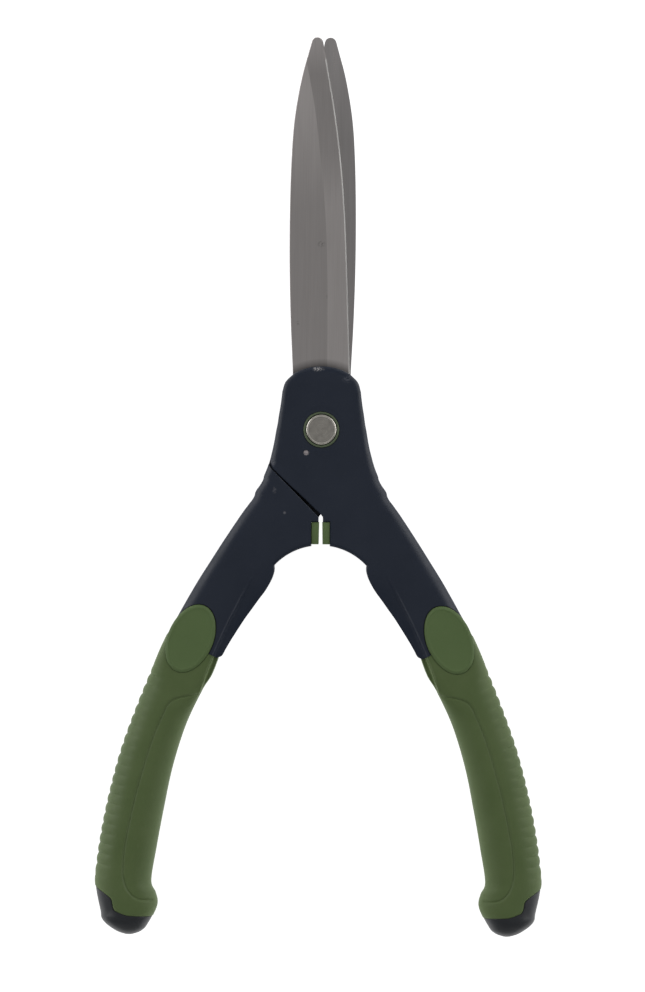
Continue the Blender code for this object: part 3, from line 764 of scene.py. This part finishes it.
# ---- pivot hardware ----


def rounded_profile(points, radius, steps=3):
    """A closed (radius, z) profile with its corners rounded."""
    points = np.array(points, float)
    made = []
    for before, here, after in zip(np.roll(points, 1, 0), points, np.roll(points, -1, 0)):
        into, out = here - before, after - here
        r = min(radius, np.linalg.norm(into) * 0.45, np.linalg.norm(out) * 0.45)
        a, b = here - into / np.linalg.norm(into) * r, here + out / np.linalg.norm(out) * r
        for t in np.linspace(0, 1, steps + 1):
            made.append((1 - t) ** 2 * a + 2 * t * (1 - t) * here + t**2 * b)
    return made


def bolt_mesh():
    """Head with a turned face and a domed rim, shank, two flats and a helical thread."""
    face = [(0, 20.93), (0.5, 20.93), (0.8, 20.96)]
    for r in np.arange(1.2, 5.3, 0.5):
        face += [(r, 20.975), (r + 0.2, 20.95)]
    face += [(5.4, 20.93), (5.55, 20.93), (5.7, 20.98), (5.85, 21.0), (6.1, 20.985), (6.35, 20.94)]
    face += [(6.55, 20.86), (6.7, 20.72), (6.78, 20.55), (6.8, 20.3)]
    profile = [*face, (6.8, 18.45), (6.65, 18.3), (4.0, 18.3), (4.0, 7.6), (3.0, 7.6)]
    shank = turned([*profile, (3.0, 7.2), (0, 7.2)])
    for sign in (1, -1):
        flat = box(sorted((sign * 3.25, sign * 7)), (-7, 7), (7.3, 10.35))
        shank = combine(shank, ("DIFFERENCE", flat))
    sides, rows = 72, np.arange(0.0, 7.25, 0.09)
    rings = []
    for z in rows:
        angle = np.linspace(0, 2 * math.pi, sides, endpoint=False)
        turn = (z / 1.0 + angle / (2 * math.pi)) % 1
        radius = 3.0 - 0.5 * np.abs(turn - 0.5) * 1.1
        radius = np.minimum(radius, 2.5 + 1.0 * z) if z < 0.5 else radius
        rings.append(np.stack([radius * np.cos(angle), radius * np.sin(angle), np.full(sides, z)], 1))
    thread = tidy(loft(rings))
    return combine(shank, ("UNION", thread))


def front_bush_mesh():
    profile = [(7.1, 20.85), (8.0, 20.85), (8.0, 17.4), (5.0, 17.4), (5.0, 13.45), (4.1, 13.45)]
    return turned(rounded_profile([*profile, (4.1, 18.0), (7.1, 18.0)], 0.22))


def rear_bush_mesh():
    """In the rear half's own frame, as the other shapes are."""
    profile = [(7.1, 20.6), (8.0, 20.6), (8.0, 13.45), (3.3, 13.45), (3.3, 14.25), (7.1, 14.25)]
    return turned(rounded_profile(profile, 0.22))


def nut_mesh():
    """A chamfered hexagon nut with a crowned outer face."""
    corners = circle(5.0 / math.cos(math.pi / 6), 6)
    block = prism(corners, 0.0, 3.85)
    crown = turned([(0, -0.01), (4.75, -0.01), (5.9, 0.62), (5.9, 3.25), (4.85, 3.86), (0, 3.86)])
    bore = [(0, -1), (3.75, -1), (3.75, -0.01), (3.3, 0.42), (3.3, 3.4), (3.75, 3.87), (3.75, 5), (0, 5)]
    return combine(block, ("INTERSECT", crown), ("DIFFERENCE", turned(bore)))


def flat_washer_mesh():
    return turned(rounded_profile([(3.3, 5.45), (3.3, 6.45), (6.0, 6.45), (6.0, 5.45)], 0.15))


def spring_washer_mesh():
    """A split ring whose ends stand a little apart."""
    rings = []
    for a in np.linspace(7, 353, 120):
        lift = (a - 180) / 180 * 0.06
        c, s = math.cos(math.radians(a)), math.sin(math.radians(a))
        corners = rounded_profile([(3.35, 4.25), (3.35, 5.05), (5.75, 5.05), (5.75, 4.25)], 0.12, 2)
        rings.append([(r * c, r * s, z + lift) for r, z in corners])
    return tidy(loft(rings))


# ---- materials ----


class Finish:
    """A procedural material under construction. Lengths in it are metres, as Object coordinates are."""

    def __init__(self, name, metallic=0.0, specular=0.5, roughness=0.5):
        self.material = bpy.data.materials.new(name)
        self.material.use_nodes = True
        self.tree = self.material.node_tree
        self.shader = self.tree.nodes["Principled BSDF"]
        self.shader.inputs["Metallic"].default_value = metallic
        self.shader.inputs["Specular IOR Level"].default_value = specular
        self.shader.inputs["Roughness"].default_value = roughness
        self.place = self.tree.nodes.new("ShaderNodeTexCoord").outputs["Object"]

    def put(self, socket, value):
        if isinstance(value, bpy.types.NodeSocket):
            self.tree.links.new(value, socket)
        else:
            socket.default_value = value

    def node(self, kind, inputs=(), **settings):
        made = self.tree.nodes.new(f"ShaderNode{kind}")
        for key, value in settings.items():
            setattr(made, key, value)
        for key, value in dict(inputs).items():
            self.put(made.inputs[key], value)
        return made

    def noise(self, scale, detail=2.0, stretch=(1, 1, 1), rough=0.5):
        mapped = self.node("Mapping", {"Vector": self.place, "Scale": stretch}).outputs[0]
        inputs = {"Vector": mapped, "Scale": scale, "Detail": detail, "Roughness": rough}
        return self.node("TexNoise", inputs).outputs["Fac"]

    def spread(self, value, low, high, to_low=0.0, to_high=1.0):
        inputs = {"Value": value, "From Min": low, "From Max": high, "To Min": to_low, "To Max": to_high}
        return self.node("MapRange", inputs).outputs[0]

    def maths(self, operation, a, b):
        return self.node("Math", {0: a, 1: b}, operation=operation).outputs[0]

    def mix(self, share, a, b):
        made = self.node("Mix", data_type="RGBA")
        self.put(made.inputs["Factor"], share)
        self.put(made.inputs["A"], a if isinstance(a, bpy.types.NodeSocket) else (*a, 1))
        self.put(made.inputs["B"], b if isinstance(b, bpy.types.NodeSocket) else (*b, 1))
        return made.outputs["Result"]

    def spot(self, centre, radius, soft, squash=(1, 1, 1)):
        """1 within radius of a point, 0 beyond it."""
        shift = tuple(-c * s for c, s in zip(centre, squash))
        mapped = self.node("Mapping", {"Vector": self.place, "Scale": squash, "Location": shift}).outputs[0]
        length = self.node("VectorMath", {0: mapped}, operation="LENGTH").outputs["Value"]
        return self.spread(length, radius * MM, (radius + soft) * MM, 1, 0)

    def scaled(self, colour, share, factor):
        """A colour multiplied by factor where share is 1."""
        made = self.node("Mix", data_type="RGBA", blend_type="MULTIPLY")
        self.put(made.inputs["Factor"], share)
        self.put(made.inputs["A"], colour)
        self.put(made.inputs["B"], (factor, factor, factor, 1))
        return made.outputs["Result"]

    def marked(self, colour, marks, scale, low, high):
        """A colour with marks on it. The ragged ones show only where a noise of that scale is high."""
        for centre, radius, soft, squash, tint, strength, ragged in marks:
            mask = self.spot([c * MM for c in centre], radius, soft, squash)
            if ragged:
                mask = self.maths("MULTIPLY", mask, self.spread(self.noise(scale, 4), low, high))
            colour = self.mix(self.maths("MULTIPLY", mask, strength), colour, tint)
        return colour

    def finish(self, colour, roughness=None, height=None, bump=0.2, depth=0.1):
        self.put(self.shader.inputs["Base Color"], colour)
        if roughness is not None:
            self.put(self.shader.inputs["Roughness"], roughness)
        if height is not None:
            inputs = {"Height": height, "Strength": bump, "Distance": depth * MM}
            self.put(self.shader.inputs["Normal"], self.node("Bump", inputs).outputs[0])
        return self.material


def moulded_plastic(name, dark, light, marks=()):
    """Glass-filled plastic: a fine spark-eroded grain, slight flow clouds and a few pale scuffs."""
    make = Finish(name, specular=0.5, roughness=0.42)
    grain = make.noise(2600, 3)
    clouds = make.noise(45, 4, rough=0.6)
    flecks = make.spread(make.noise(900, 1), 0.66, 0.74)
    colour = make.mix(make.spread(clouds, 0.35, 0.65), dark, light)
    colour = make.mix(make.maths("MULTIPLY", flecks, 0.12), colour, (0.05, 0.055, 0.065))
    colour = make.marked(colour, marks, 1500, 0.42, 0.6)
    roughness = make.spread(make.noise(120, 3), 0.3, 0.7, 0.38, 0.48)
    return make.finish(colour, roughness, grain, 0.35, 0.05)


def soft_rubber(name, dark, light):
    """Overmoulded rubber: matte, with a fine tooth and faint handling marks."""
    make = Finish(name, specular=0.45, roughness=0.6)
    grain = make.noise(3200, 2)
    clouds = make.noise(60, 4, rough=0.6)
    smear = make.noise(30, 3, stretch=(1, 0.4, 1))
    colour = make.mix(make.spread(clouds, 0.3, 0.7), dark, light)
    dusty = make.spread(make.noise(700, 2), 0.6, 0.75)
    colour = make.mix(make.maths("MULTIPLY", dusty, 0.07), colour, (0.2, 0.23, 0.15))
    roughness = make.spread(smear, 0.3, 0.7, 0.52, 0.66)
    return make.finish(colour, roughness, grain, 0.4, 0.05)


def ground_steel(name, dark, light, roughness, marks=(), bump=0.12, near_black_below=None, painted_reflection_bands=(), painted_head_shadow=False):
    """Steel with the fine lines of the belt along the blade and faint stains.

    The steel turns nearly black below one height. Each band is a start and an end along the blade and how
    much paler the steel is painted between them, a painted reflection that is darker where the factor is
    below 1. Next to the head the steel can carry a painted shadow of the head. Lengths are in mm.
    """
    make = Finish(name, metallic=1.0, roughness=roughness)
    stretch = (1, 0.018, 1)
    lines = make.noise(2400, 3, stretch=stretch)
    broad = make.noise(420, 2, stretch=stretch)
    clouds = make.noise(38, 3, stretch=(1, 0.45, 1))
    share = make.maths("ADD", make.maths("MULTIPLY", lines, 0.75), make.maths("MULTIPLY", broad, 0.25))
    colour = make.mix(make.spread(share, 0.3, 0.7), dark, light)
    tone = make.spread(clouds, 0.3, 0.7, 0.0, 0.3)
    colour = make.mix(tone, colour, tuple(c * 0.85 for c in dark))
    height = make.node("SeparateXYZ", {0: make.place}).outputs["Y"]
    # painted reflection: each band along the blade is painted paler by its factor, and darker where the
    # factor is below 1
    for start, end, factor in painted_reflection_bands:
        colour = make.scaled(colour, make.spread(height, start * MM, end * MM), factor)
    # painted shadow: the steel just beyond the head's edge is painted darker, for the shade the head throws
    # on the blade
    if painted_head_shadow:
        head_shadow_mask = make.spot((0, DOME_CENTRE[1] * MM, BLADE_HIGH * MM), DOME_RADIUS, 3.8)
        colour = make.scaled(colour, head_shadow_mask, 0.36)
    # the steel turns nearly black below the given height, with a mottled border
    if near_black_below is not None:
        mottled = make.maths("ADD", height, make.spread(make.noise(160, 4), 0.3, 0.7, -2 * MM, 2 * MM))
        scale = make.spread(mottled, (near_black_below - 3) * MM, (near_black_below + 1) * MM, 1, 0)
        colour = make.mix(scale, colour, (0.012, 0.012, 0.013))
    colour = make.marked(colour, marks, 1100, 0.4, 0.58)
    rough = make.spread(broad, 0.3, 0.7, roughness - 0.06, roughness + 0.07)
    return make.finish(colour, rough, lines, bump, 0.02)


def turned_steel(name, dark, light, roughness, rim=None):
    """Turned metal: fine rings round the pivot axis, and a rim beyond a radius in mm painted paler, a painted
    highlight.
    """
    make = Finish(name, metallic=1.0, roughness=roughness)
    flat = make.node("Mapping", {"Vector": make.place, "Scale": (1, 1, 0)}).outputs[0]
    radius = make.node("VectorMath", {0: flat}, operation="LENGTH").outputs["Value"]
    along = make.node("CombineXYZ", {"X": make.maths("MULTIPLY", radius, 3500)}).outputs[0]
    rings = make.node("TexNoise", {"Vector": along, "Scale": 1.0, "Detail": 3.0}).outputs["Fac"]
    clouds = make.noise(500, 4)
    colour = make.mix(make.spread(rings, 0.35, 0.65), dark, light)
    colour = make.mix(make.spread(clouds, 0.45, 0.75, 0, 0.4), colour, tuple(c * 0.72 for c in dark))
    if rim:
        # painted highlight: the rim of the bolt's head is painted paler
        colour = make.scaled(colour, make.spread(radius, rim * MM, (rim + 0.3) * MM), 1.8)
    rough = make.spread(clouds, 0.3, 0.7, roughness - 0.08, roughness + 0.1)
    return make.finish(colour, rough, rings, 0.25, 0.03)


PALE, STAIN = (0.50, 0.49, 0.49), (0.20, 0.19, 0.18)
FLAT = (1, 1, 1)
# centre, radius and soft edge in mm, squash, tint, strength, ragged or not
plastic_marks = (
    ((*GATE, 20.6), 0.95, 0.3, FLAT, (0.42, 0.38, 0.39), 0.95, False),
    ((-1.6, 27.1, 20.0), 0.6, 1.0, (0.5, 1.3, 0.3), PALE, 0.9, True),
    ((11.6, 22.6, 20.2), 0.5, 1.4, (0.6, 1.0, 0.3), (0.13, 0.14, 0.17), 0.6, True),
    ((-16.2, -37.3, 20.7), 0.3, 0.5, FLAT, (0.17, 0.17, 0.19), 0.8, False),
    ((-20.8, -27.2, 20.7), 0.3, 1.2, (1.2, 0.8, 1), (0.14, 0.14, 0.16), 0.7, True),
)
steel_marks = (
    ((-0.5, 83.5, 13.1), 0.5, 1.2, (0.8, 1, 1), STAIN, 0.7, True),
    ((2.7, 60.0, 13.0), 0.3, 0.9, FLAT, STAIN, 0.6, True),
    ((-10.8, 48.0, 13.1), 0.3, 0.9, FLAT, STAIN, 0.55, True),
)
BLACK = moulded_plastic("moulded_black", (0.0100, 0.0175, 0.0360), (0.0140, 0.0220, 0.0420), plastic_marks)
CAP_BLACK = moulded_plastic("cap_black", (0.0255, 0.0287, 0.0335), (0.0320, 0.0355, 0.0400))
GREEN = soft_rubber("soft_green", (0.106, 0.160, 0.051), (0.125, 0.180, 0.063))
PAD_GREEN = soft_rubber("pad_green", (0.122, 0.191, 0.066), (0.133, 0.204, 0.073))
BUSH_GREEN = moulded_plastic("bush_green", (0.111, 0.148, 0.083), (0.130, 0.167, 0.097))
# painted reflection: a paler band from 100 to 150 mm; also the painted shadow of the head, and nearly black
# below 4 mm
STEEL = ground_steel(
    "blade_ground", (0.49, 0.46, 0.45), (0.55, 0.52, 0.51), 0.33, steel_marks,
    near_black_below=4, painted_reflection_bands=((100, 150, 1.33),), painted_head_shadow=True,
)
# the ground bevel: a paler copy of the blade steel, a painted reflection, with painted reflection bands and
# the painted shadow of the head
BEVEL_STEEL_PAINTED_REFLECTION = ground_steel(
    "blade_bevel_painted_reflection", (0.61, 0.575, 0.56), (0.69, 0.65, 0.64), 0.33,
    painted_reflection_bands=((100, 125, 0.80), (160, 173, 1.3)), painted_head_shadow=True,
)
# the second bevel: a much paler copy of the blade steel, a painted highlight for the glint of the honed edge
EDGE_STEEL_PAINTED_HIGHLIGHT = ground_steel("blade_edge_painted_highlight", (0.76, 0.75, 0.73), (0.84, 0.83, 0.80), 0.42, bump=0.05)
# painted reflection: a paler band from 130 to 172 mm, and nearly black below 4 mm
REAR_STEEL = ground_steel(
    "blade_inner", (0.42, 0.40, 0.395), (0.47, 0.45, 0.445), 0.33, near_black_below=4, painted_reflection_bands=((130, 172, 1.25),)
)
# painted highlight on the bolt's rim beyond 5.6 mm
BOLT = turned_steel("bolt_turned", (0.40, 0.38, 0.345), (0.52, 0.495, 0.45), 0.33, rim=5.6)
ZINC = turned_steel("zinc_plated", (0.50, 0.50, 0.51), (0.62, 0.62, 0.64), 0.34)


# ---- pieces ----

TURN = Matrix(((-1, 0, 0, 0), (0, 1, 0, 0), (0, 0, -1, TOP * MM), (0, 0, 0, 1)))
MIRROR = Matrix(((1, 0, 0, 0), (0, 1, 0, 0), (0, 0, -1, TOP * MM), (0, 0, 0, 1)))


def piece(name, mesh, body, node, material, rear=False):
    """Places a mesh as the looks of one CAD node, turned over for the rear half."""
    mesh = mesh.copy()
    mesh.name = name
    if rear:
        mesh.transform(TURN)
    mesh.materials.clear()
    for one in material if isinstance(material, tuple) else (material,):
        mesh.materials.append(one)
    obj = new_object(name, mesh)
    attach(obj, body)
    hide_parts(node)
    return obj


def pocket_cut():
    return ("DIFFERENCE", prism(blade_outline(GAP), BLADE_LOW - GAP, BLADE_HIGH + GAP))


def handle_mesh(bored):
    stem = tidy(loft(stem_rings((8.5, 5.8), -84, -219.6)))
    end = prism(cap_region(), *THROUGH)
    socket = tidy(loft(stem_rings((5.3, 3.6), -199, -224)))
    stem = combine(stem, ("DIFFERENCE", end), ("DIFFERENCE", socket))
    tail = box((3.5, 7.5), (-49.1, -43.5), (5.7, 15.3))
    cuts = [("DIFFERENCE", mesh) for mesh in (tail, *bored)]
    return combine(moulding_mesh(), ("UNION", stem), pocket_cut(), *pad_cuts(GAP), *cuts)


def edge_faces(mesh):
    """Gives the faces of the second bevel and of the ground bevel their own materials, paler copies of the
    steel with a painted highlight and a painted reflection.
    """
    edge = smooth(EDGE, 8)
    centres = np.array([f.center for f in mesh.polygons]) / MM
    normals = np.array([f.normal for f in mesh.polygons])
    near = beside(centres, edge)[0]
    ground = centres[:, 0] > line_x(GRIND_LINE, centres[:, 1])
    for f, gap, normal, centre, low in zip(mesh.polygons, near, normals, centres, ground):
        if normal[2] > 0.7 and 16 < centre[1] < 174:
            if gap < SECOND_BEVEL * 0.98:
                f.material_index = 1
            elif low:
                f.material_index = 2


seat = turned([(0, 17.1), (8.2, 17.1), (8.2, 26.0), (0, 26.0)])
sleeve_hole = turned([(0, 12.0), (5.3, 12.0), (5.3, 18.0), (0, 18.0)])
cup_hole = turned([(0, 13.0), (8.2, 13.0), (8.2, 26.0), (0, 26.0)])
front_handle = shade(handle_mesh((seat, sleeve_hole)), 32)
rear_handle = shade(handle_mesh((cup_hole,)), 32)
piece("right_handle_moulding", front_handle, "front_half", "right_handle", BLACK)
piece("left_handle_moulding", rear_handle, "rear_half", "left_handle", BLACK, True)

grip, cap, pad = shade(grip_mesh(), 40), shade(cap_mesh(), 40), shade(pad_mesh(), 45)
low_pad = pad.copy()
low_pad.transform(MIRROR)
low_pad.flip_normals()
bumper = shade(bumper_mesh(), 40)
for side, body, rear in (("right", "front_half", False), ("left", "rear_half", True)):
    piece(f"{side}_grip_sleeve", grip, body, f"{side}_grip", GREEN, rear)
    piece(f"{side}_butt_cap", cap, body, f"{side}_end_cap", CAP_BLACK, rear)
    piece(f"{side}_bumper_block", bumper, body, f"{side}_bumper", PAD_GREEN, rear)
    high, low = ("rear", "front") if rear else ("front", "rear")
    piece(f"{side}_{high}_thumb_pad", pad, body, f"{side}_{high}_pad", PAD_GREEN, rear)
    piece(f"{side}_{low}_thumb_pad", low_pad, body, f"{side}_{low}_pad", PAD_GREEN, rear)

for name, body, node, flats, steel, rear in (
    ("front_cutting_blade", "front_half", "front_blade", False, STEEL, False),
    ("rear_cutting_blade", "rear_half", "rear_blade", True, REAR_STEEL, True),
):
    mesh = shade(blade_mesh(flats), 6)
    made = piece(name, mesh, body, node, (steel, EDGE_STEEL_PAINTED_HIGHLIGHT, BEVEL_STEEL_PAINTED_REFLECTION), rear)
    if rear:
        made.data.transform(TURN)
    edge_faces(made.data)
    if rear:
        made.data.transform(TURN)

piece("pivot_bolt_turned", shade(bolt_mesh(), 30), "rear_half", "pivot_bolt", BOLT)
ring, cup = shade(front_bush_mesh(), 45), shade(rear_bush_mesh(), 45)
piece("front_bush_ring", ring, "front_half", "front_bush", BUSH_GREEN)
piece("rear_bush_cup", cup, "rear_half", "rear_bush", BUSH_GREEN, True)
piece("flat_washer_ring", shade(flat_washer_mesh(), 40), "rear_half", "flat_washer", ZINC)
piece("spring_washer_ring", shade(spring_washer_mesh(), 40), "rear_half", "spring_washer", ZINC)
piece("lock_nut_hexagon", shade(nut_mesh(), 30), "rear_half", "lock_nut", ZINC)


# ---- studio ----


def floor():
    """A pale table that glows a little, so that the shears throw next to no shadow."""
    work = bmesh.new()
    bmesh.ops.create_grid(work, x_segments=40, y_segments=40, size=10.0)
    mesh = bpy.data.meshes.new("floor")
    work.to_mesh(mesh)
    work.free()
    obj = new_object("floor", mesh)
    obj.location.z = -0.0002
    make = Finish("floor", specular=0.1, roughness=0.9)
    make.shader.inputs["Emission Color"].default_value = (1, 1, 1, 1)
    make.shader.inputs["Emission Strength"].default_value = 0.95
    cloud = make.noise(3, 2)
    mesh.materials.append(make.finish(make.mix(cloud, (0.44, 0.44, 0.44), (0.46, 0.46, 0.46))))


def lights():
    """A dim room, a low soft box on either side, fainter ones at both ends and a faint wide one overhead."""
    world = bpy.data.worlds.new("studio")
    bpy.context.scene.world = world
    world.use_nodes = True
    back = world.node_tree.nodes["Background"]
    back.inputs["Color"].default_value = (1, 1, 1, 1)
    back.inputs["Strength"].default_value = 0.06
    for name, place, size, watts in (
        ("left_box", (-1.5, 0.45, 0.72), (1.9, 1.0), 13.4),
        ("right_box", (1.5, 0.45, 0.72), (1.9, 1.0), 13.4),
        ("handle_end_box", (0, -1.7, 0.8), (2.4, 1.1), 4.2),
        ("tip_end_box", (0, 1.7, 0.8), (2.4, 1.1), 3.4),
        ("top_box", (0, 0, 2.4), (1.9, 1.9), 3.6),
    ):
        data = bpy.data.lights.new(name, "AREA")
        data.shape, data.size, data.size_y = "RECTANGLE", *size
        data.energy = watts
        obj = bpy.data.objects.new(name, data)
        bpy.context.scene.collection.objects.link(obj)
        obj.location = place
        obj.rotation_euler = (-Vector(place)).to_track_quat("-Z", "Y").to_euler()
        obj.visible_camera = False


def camera():
    """Straight above, with the pivot left of the middle and the shears turned a little clockwise."""
    lens, sensor, frame_height = 150.0, 36.0, 446.4
    roll = math.radians(0.40)
    data = bpy.data.cameras.new("camera")
    data.lens, data.sensor_width = lens, sensor
    data.clip_start, data.clip_end = 0.1, 20
    obj = bpy.data.objects.new("camera", data)
    bpy.context.scene.collection.objects.link(obj)
    x, y = 0.51, -29.7
    c, s = math.cos(roll), math.sin(roll)
    away = frame_height * lens / sensor
    obj.location = ((x * c - y * s) * MM, (x * s + y * c) * MM, (MID + away) * MM)
    obj.rotation_euler = (0, 0, roll)
    bpy.context.scene.camera = obj


floor()
lights()
camera()
bpy.context.scene.view_settings.view_transform = "Standard"
